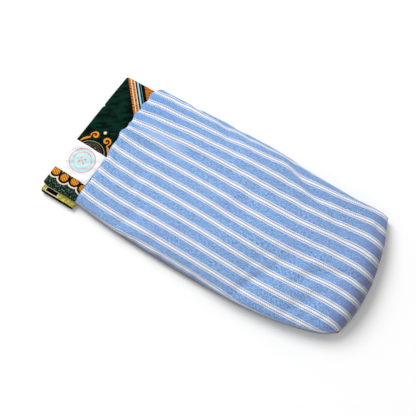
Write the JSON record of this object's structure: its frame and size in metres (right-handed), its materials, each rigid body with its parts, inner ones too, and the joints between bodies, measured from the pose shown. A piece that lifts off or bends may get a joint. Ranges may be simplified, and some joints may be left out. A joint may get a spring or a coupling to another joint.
{
  "type": "soft pouch glasses case",
  "caption": "Padded cloth pouch for spectacles, with a sprung snap mouth in two folded casings and a ribbon label on one edge.",
  "frame": {"origin": "middle of the case's footprint, on the surface that the back panel lies on", "axes": "+X from the mouth to the closed bottom, +Y towards the right side, +Z out of the front panel"},
  "size_m": [0.1948, 0.0964, 0.017],
  "materials": {
    "striped_cotton": "woven cotton, blue with white stripes",
    "casing_print": "printed cotton, very dark green ground",
    "lining_cotton": "plain woven cotton",
    "wadding": "lofted fibre",
    "ribbon": "woven ribbon, satin",
    "thread": "spun sewing thread",
    "spring_steel": "rolled",
    "end_wrap": "adhesive tape"
  },
  "bodies": {
    "pouch": {"outer_front_panel": "striped_cotton", "outer_back_panel": "striped_cotton", "front_wadding": "wadding", "back_wadding": "wadding", "front_lining": "lining_cotton", "back_lining": "lining_cotton", "left_seam_allowance": "striped_cotton", "right_seam_allowance": "striped_cotton", "bottom_seam_allowance": "striped_cotton", "left_seam_thread": "thread", "right_seam_thread": "thread", "bottom_seam_thread": "thread", "back_casing_centre": "casing_print", "back_strip_centre": "spring_steel", "back_casing_centre_seam_thread": "thread"},
    "front_middle": {"front_casing_centre": "casing_print", "front_strip_centre": "spring_steel", "front_casing_centre_seam_thread": "thread"},
    "front_left_half": {"front_casing_left": "casing_print", "front_strip_left": "spring_steel", "front_strip_left_end_wrap": "end_wrap", "front_casing_left_seam_thread": "thread", "ribbon_label": "ribbon", "ribbon_label_thread": "thread"},
    "front_right_half": {"front_casing_right": "casing_print", "front_strip_right": "spring_steel", "front_strip_right_end_wrap": "end_wrap", "front_casing_right_seam_thread": "thread"},
    "back_left_half": {"back_casing_left": "casing_print", "back_strip_left": "spring_steel", "back_strip_left_end_wrap": "end_wrap", "back_casing_left_seam_thread": "thread"},
    "back_right_half": {"back_casing_right": "casing_print", "back_strip_right": "spring_steel", "back_strip_right_end_wrap": "end_wrap", "back_casing_right_seam_thread": "thread"}
  },
  "joints": [
    {"name": "mouth_open", "type": "slide", "parent": "pouch", "child": "front_middle", "axis": [0, 0, 1], "range_m": [0, 0.038], "stiffness_N_per_m": 80},
    {"name": "front_left_fold", "type": "hinge", "parent": "front_middle", "child": "front_left_half", "pos_m": [-0.087, -0.0038, 0.00405], "axis": [1, 0, 0], "range_deg": [0, 27]},
    {"name": "front_right_fold", "type": "hinge", "parent": "front_middle", "child": "front_right_half", "pos_m": [-0.087, 0.0042, 0.00405], "axis": [-1, 0, 0], "range_deg": [0, 27]},
    {"name": "back_left_fold", "type": "hinge", "parent": "pouch", "child": "back_left_half", "pos_m": [-0.087, -0.0038, 0.00405], "axis": [-1, 0, 0], "range_deg": [0, 27]},
    {"name": "back_right_fold", "type": "hinge", "parent": "pouch", "child": "back_right_half", "pos_m": [-0.087, 0.0042, 0.00405], "axis": [1, 0, 0], "range_deg": [0, 27]}
  ],
  "couplings": [
    {"joint": "front_left_fold", "follows": "mouth_open", "rad_per_m": 12.285},
    {"joint": "front_right_fold", "follows": "mouth_open", "rad_per_m": 12.285},
    {"joint": "back_left_fold", "follows": "mouth_open", "rad_per_m": 12.285},
    {"joint": "back_right_fold", "follows": "mouth_open", "rad_per_m": 12.285}
  ]
}
